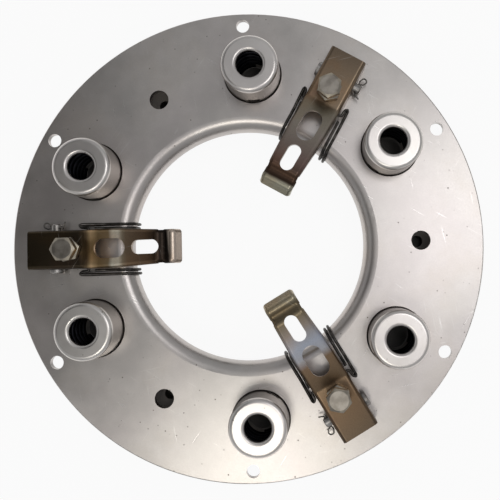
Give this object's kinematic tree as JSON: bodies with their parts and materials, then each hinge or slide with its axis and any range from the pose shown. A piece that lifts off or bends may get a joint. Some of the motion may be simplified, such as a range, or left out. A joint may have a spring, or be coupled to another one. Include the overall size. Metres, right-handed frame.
{
  "type": "clutch pressure plate",
  "caption": "Clutch cover assembly: a round pressed cover with coil-spring cups, and channel-section levers that lift a ring-shaped pressure plate on pivot pins.",
  "frame": {"origin": "centre of the flywheel bolt circle, on the cover's underside", "axes": "+Z along the clutch's axis towards the release bearing; +X through a retaining hole, opposite one release lever"},
  "size_m": [0.318, 0.318, 0.0646],
  "materials": {
    "pressed_steel": "satin pressed steel",
    "cast_iron": "cast, ground on the friction face",
    "drawn_steel": "smooth drawn steel",
    "spring_steel": "dull wire",
    "spring_wire": "dark oiled wire",
    "lever_steel": "bronze-brown heat-tinted pressed steel",
    "screw_steel": "machined and oiled",
    "nut_steel": "machined and oiled",
    "pin_steel": "turned steel",
    "cotter_wire": "dark soft wire"
  },
  "bodies": {
    "cover": {"cover": "pressed_steel", "spring_cup_1": "drawn_steel", "spring_cup_2": "drawn_steel", "spring_cup_3": "drawn_steel", "spring_cup_4": "drawn_steel", "spring_cup_5": "drawn_steel", "spring_cup_6": "drawn_steel", "pressure_spring_1": "spring_steel", "pressure_spring_2": "spring_steel", "pressure_spring_3": "spring_steel", "pressure_spring_4": "spring_steel", "pressure_spring_5": "spring_steel", "pressure_spring_6": "spring_steel", "lever_spring_1": "spring_wire", "lever_spring_2": "spring_wire", "lever_spring_3": "spring_wire"},
    "pressure_plate": {"pressure_plate": "cast_iron"},
    "lever_1": {"release_lever_1": "lever_steel", "adjusting_screw_1": "screw_steel", "jam_nut_1": "nut_steel", "clevis_pin_1": "pin_steel", "cotter_pin_1": "cotter_wire"},
    "lever_2": {"release_lever_2": "lever_steel", "adjusting_screw_2": "screw_steel", "jam_nut_2": "nut_steel", "clevis_pin_2": "pin_steel", "cotter_pin_2": "cotter_wire"},
    "lever_3": {"release_lever_3": "lever_steel", "adjusting_screw_3": "screw_steel", "jam_nut_3": "nut_steel", "clevis_pin_3": "pin_steel", "cotter_pin_3": "cotter_wire"}
  },
  "joints": [
    {"name": "plate_lift", "type": "slide", "parent": "cover", "child": "pressure_plate", "axis": [0, 0, 1], "range_m": [0, 0.0024], "stiffness_N_per_m": 20000, "springref_m": -0.003, "deforming": ["pressure_spring_1", "pressure_spring_2", "pressure_spring_3", "pressure_spring_4", "pressure_spring_5", "pressure_spring_6", "lever_spring_1", "lever_spring_2", "lever_spring_3"]},
    {"name": "lever_1_pivot", "type": "hinge", "parent": "pressure_plate", "child": "lever_1", "pos_m": [0.0636, 0.11016, 0.0105], "axis": [0.866, -0.5, 0], "range_deg": [0, 11.75]},
    {"name": "lever_2_pivot", "type": "hinge", "parent": "pressure_plate", "child": "lever_2", "pos_m": [-0.1272, 0, 0.0105], "axis": [0, 1, 0], "range_deg": [0, 11.75]},
    {"name": "lever_3_pivot", "type": "hinge", "parent": "pressure_plate", "child": "lever_3", "pos_m": [0.0636, -0.11016, 0.0105], "axis": [-0.866, -0.5, 0], "range_deg": [0, 11.75]}
  ],
  "couplings": [
    {"joint": "lever_1_pivot", "follows": "plate_lift", "rad_per_m": 84.75},
    {"joint": "lever_2_pivot", "follows": "plate_lift", "rad_per_m": 84.75},
    {"joint": "lever_3_pivot", "follows": "plate_lift", "rad_per_m": 84.75}
  ]
}
